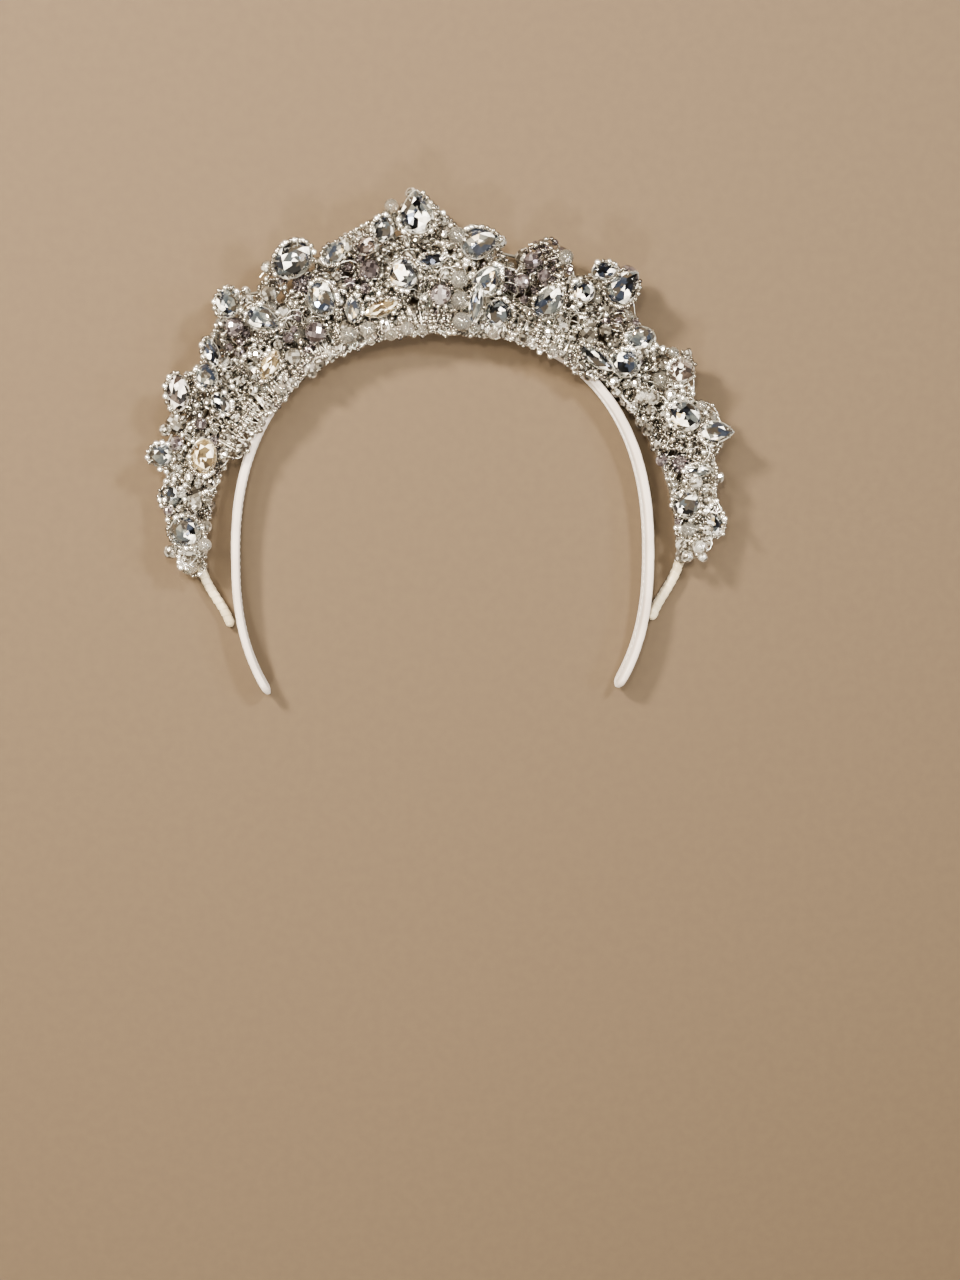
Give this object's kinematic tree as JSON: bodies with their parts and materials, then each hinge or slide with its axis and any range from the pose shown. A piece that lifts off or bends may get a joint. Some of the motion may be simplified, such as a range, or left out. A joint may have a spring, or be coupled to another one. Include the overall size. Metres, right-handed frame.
{
  "type": "tiara",
  "caption": "Bridal tiara: a peaked crest of cut stones and crystal beads on silver wire, on a satin-covered headband.",
  "frame": {"origin": "middle of the tiara's box, on the surface that it lies on", "axes": "+Z out of the crest's front, +Y up through the crest's peak, +X to the right of the crest's front"},
  "size_m": [0.2048, 0.177, 0.0223],
  "materials": {
    "satin": "smooth satin weave, soft sheen",
    "strip_satin": "cream satin ribbon, wrapped",
    "silver": "silver plated wire, polished",
    "crystal_beads": "faceted glass, clear to smoky",
    "clear_crystal": "cut glass, foil backed",
    "cream_stone": "cut glass, warm cream",
    "smoke_crystal": "cut glass, smoky grey"
  },
  "bodies": {
    "root": {"headband": "satin", "crest_frame": "silver", "bead_string_left": "crystal_beads", "bead_string_right": "crystal_beads", "side_strip_left": "strip_satin", "side_strip_right": "strip_satin", "navette_01": "cream_stone", "navette_02": "clear_crystal", "navette_03": "clear_crystal", "navette_04": "cream_stone", "navette_05": "clear_crystal", "navette_06": "clear_crystal", "navette_07": "clear_crystal", "navette_08": "clear_crystal", "oval_01": "clear_crystal", "oval_02": "clear_crystal", "oval_03": "clear_crystal", "oval_04": "clear_crystal", "oval_05": "clear_crystal", "oval_06": "cream_stone", "oval_07": "clear_crystal", "oval_08": "smoke_crystal", "oval_09": "clear_crystal", "oval_10": "clear_crystal", "oval_11": "clear_crystal", "oval_12": "clear_crystal", "oval_13": "clear_crystal", "oval_14": "clear_crystal", "oval_15": "clear_crystal", "oval_16": "clear_crystal", "oval_17": "smoke_crystal", "oval_18": "clear_crystal", "pear_01": "clear_crystal", "pear_02": "clear_crystal", "pear_03": "clear_crystal", "pear_04": "clear_crystal", "pear_05": "clear_crystal", "pear_06": "clear_crystal", "round_01": "clear_crystal", "round_02": "clear_crystal", "round_03": "clear_crystal", "round_04": "smoke_crystal", "round_05": "clear_crystal", "round_06": "clear_crystal"}
  },
  "joints": []
}
